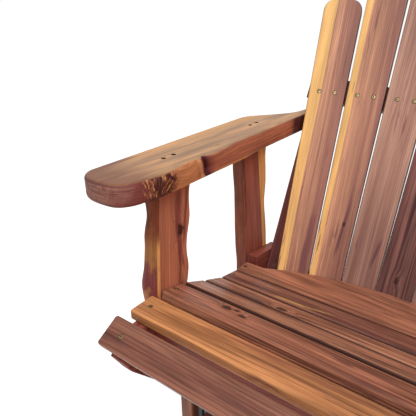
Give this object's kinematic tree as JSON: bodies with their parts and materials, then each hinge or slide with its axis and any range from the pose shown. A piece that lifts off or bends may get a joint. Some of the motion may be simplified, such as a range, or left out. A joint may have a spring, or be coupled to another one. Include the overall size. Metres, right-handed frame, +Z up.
{
  "type": "adirondack swivel glider",
  "caption": "Cedar adirondack armchair with a fanned slat back that glides on hanging links and swivels on a ball race over a crossed-plank base.",
  "frame": {"origin": "on the floor under the swivel axis", "axes": "+Z up, the sitter faces -Y, +X to the right of someone facing the chair"},
  "size_m": [0.784, 0.797, 0.9752],
  "materials": {
    "cedar_back": "satin",
    "cedar_seat": "satin",
    "cedar_post": "satin",
    "cedar_arm": "satin",
    "cedar_frame": "satin",
    "deck_screw": "dulled",
    "zinc_steel": "satin",
    "bright_steel": "polished",
    "black_steel": "satin black",
    "nylon_bush": "matt",
    "rubber_foot": "matt"
  },
  "bodies": {
    "floor_base": {"base_plank_lower": "cedar_frame", "base_plank_upper": "cedar_frame", "base_feet": "rubber_foot", "lower_race_screws": "zinc_steel", "swivel_lower_race": "black_steel", "swivel_balls": "bright_steel", "king_bolt": "zinc_steel"},
    "turntable": {"swivel_upper_race": "black_steel", "turntable_screws": "zinc_steel", "front_cross_rail": "cedar_frame", "rear_cross_rail": "cedar_frame", "left_glider_beam": "cedar_frame", "right_glider_beam": "cedar_frame", "bracket_bolts": "zinc_steel", "front_pivot_brackets": "black_steel", "rear_pivot_brackets": "black_steel", "front_shaft_bearings": "nylon_bush", "rear_shaft_bearings": "nylon_bush"},
    "front_rocker": {"front_rockshaft": "bright_steel", "left_front_link": "black_steel", "right_front_link": "black_steel", "front_link_bushes": "nylon_bush"},
    "rear_rocker": {"rear_rockshaft": "bright_steel", "left_rear_link": "black_steel", "right_rear_link": "black_steel", "rear_link_bushes": "nylon_bush"},
    "seat": {"arm_screws": "deck_screw", "back_slat_1": "cedar_back", "back_slat_2": "cedar_back", "back_slat_3": "cedar_back", "back_slat_4": "cedar_back", "back_slat_5": "cedar_back", "back_slat_6": "cedar_back", "back_slat_7": "cedar_back", "back_slat_screws": "deck_screw", "frame_bolts": "zinc_steel", "front_apron_slat": "cedar_seat", "front_stretcher": "cedar_frame", "left_arm": "cedar_arm", "left_back_upright": "cedar_frame", "left_front_hanger": "cedar_frame", "left_front_post": "cedar_post", "left_rear_post": "cedar_post", "left_seat_rail": "cedar_frame", "lower_back_rail": "cedar_frame", "pivot_bolts": "zinc_steel", "rear_seat_slat": "cedar_seat", "right_arm": "cedar_arm", "right_back_upright": "cedar_frame", "right_front_hanger": "cedar_frame", "right_front_post": "cedar_post", "right_rear_post": "cedar_post", "right_seat_rail": "cedar_frame", "seat_slat_1": "cedar_seat", "seat_slat_2": "cedar_seat", "seat_slat_3": "cedar_seat", "seat_slat_4": "cedar_seat", "seat_slat_5": "cedar_seat", "seat_slat_screws": "deck_screw", "upper_back_rail": "cedar_frame"}
  },
  "joints": [
    {"name": "swivel", "type": "hinge", "parent": "floor_base", "child": "turntable", "pos_m": [0, 0, 0.0575], "axis": [0, 0, 1], "continuous": true},
    {"name": "front_swing", "type": "hinge", "parent": "turntable", "child": "front_rocker", "pos_m": [0, -0.14, 0.264], "axis": [1, 0, 0], "range_deg": [-18, 18]},
    {"name": "rear_swing", "type": "hinge", "parent": "turntable", "child": "rear_rocker", "pos_m": [0, 0.07939, 0.264], "axis": [1, 0, 0], "range_deg": [-18, 18]},
    {"name": "seat_hang", "type": "hinge", "parent": "front_rocker", "child": "seat", "pos_m": [0, -0.14, 0.12], "axis": [1, 0, 0], "range_deg": [-18, 18]}
  ],
  "couplings": [
    {"joint": "rear_swing", "follows": "front_swing", "ratio": 1},
    {"joint": "seat_hang", "follows": "front_swing", "ratio": -1}
  ]
}
